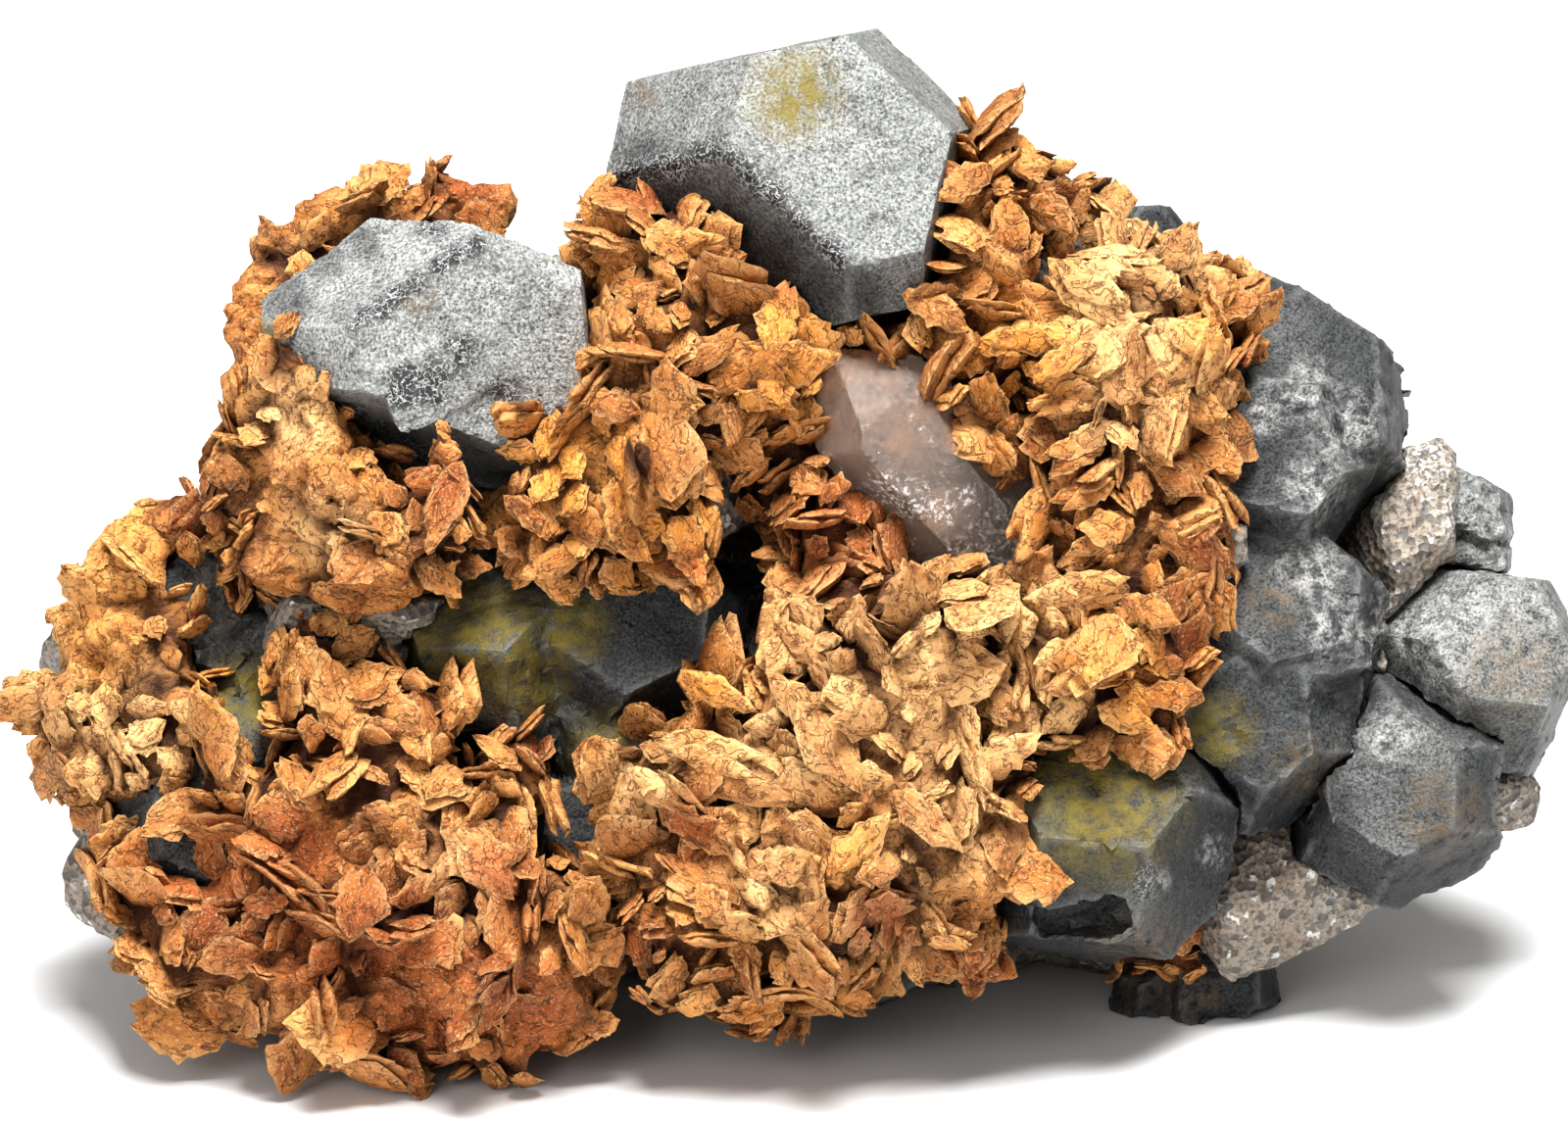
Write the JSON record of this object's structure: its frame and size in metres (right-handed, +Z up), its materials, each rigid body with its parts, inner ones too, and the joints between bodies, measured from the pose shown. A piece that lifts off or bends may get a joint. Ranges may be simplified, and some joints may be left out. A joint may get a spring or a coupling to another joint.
{
  "type": "galena mineral specimen",
  "caption": "Loose hand-sized galena specimen: grey cube-octahedron crystals on rough matrix, crusted with tan bladed siderite and glassy quartz.",
  "frame": {"origin": "centre of the specimen's own box, on the plane that it rests on", "axes": "+Z up, -Y toward the viewer of the crystal face, which leans back by 20 degrees, +X to the right along the longest side"},
  "size_m": [0.1024, 0.0542, 0.0649],
  "materials": {
    "galena_frosted": "frosted lead-grey crystal with an etched bloom",
    "galena_dark": "dark lead-grey crystal with a half-bright metallic lustre",
    "quartz": "clear to milky crystal with a smoky tint",
    "matrix": "rough granular grey-brown rock with white grains",
    "siderite": "tan to orange-brown bladed crust"
  },
  "bodies": {
    "root": {"galena_top": "galena_frosted", "galena_left": "galena_frosted", "galena_centre": "galena_frosted", "galena_far_left": "galena_frosted", "galena_low_right": "galena_frosted", "galena_low_centre": "galena_dark", "galena_under_crust": "galena_frosted", "galena_right": "galena_frosted", "galena_right_low": "galena_frosted", "galena_far_right": "galena_frosted", "galena_right_edge": "galena_frosted", "galena_upper_right": "galena_dark", "galena_bottom_right": "galena_dark", "galena_back_left": "galena_frosted", "galena_back_right": "galena_frosted", "quartz_prism": "quartz", "quartz_upper_right": "quartz", "matrix_rock": "matrix", "siderite_left_rim": "siderite", "siderite_far_left": "siderite", "siderite_lower_left": "siderite", "siderite_column": "siderite", "siderite_right": "siderite", "siderite_lower_middle": "siderite", "siderite_lower_right": "siderite", "siderite_back_left": "siderite", "siderite_back_right": "siderite"}
  },
  "joints": []
}
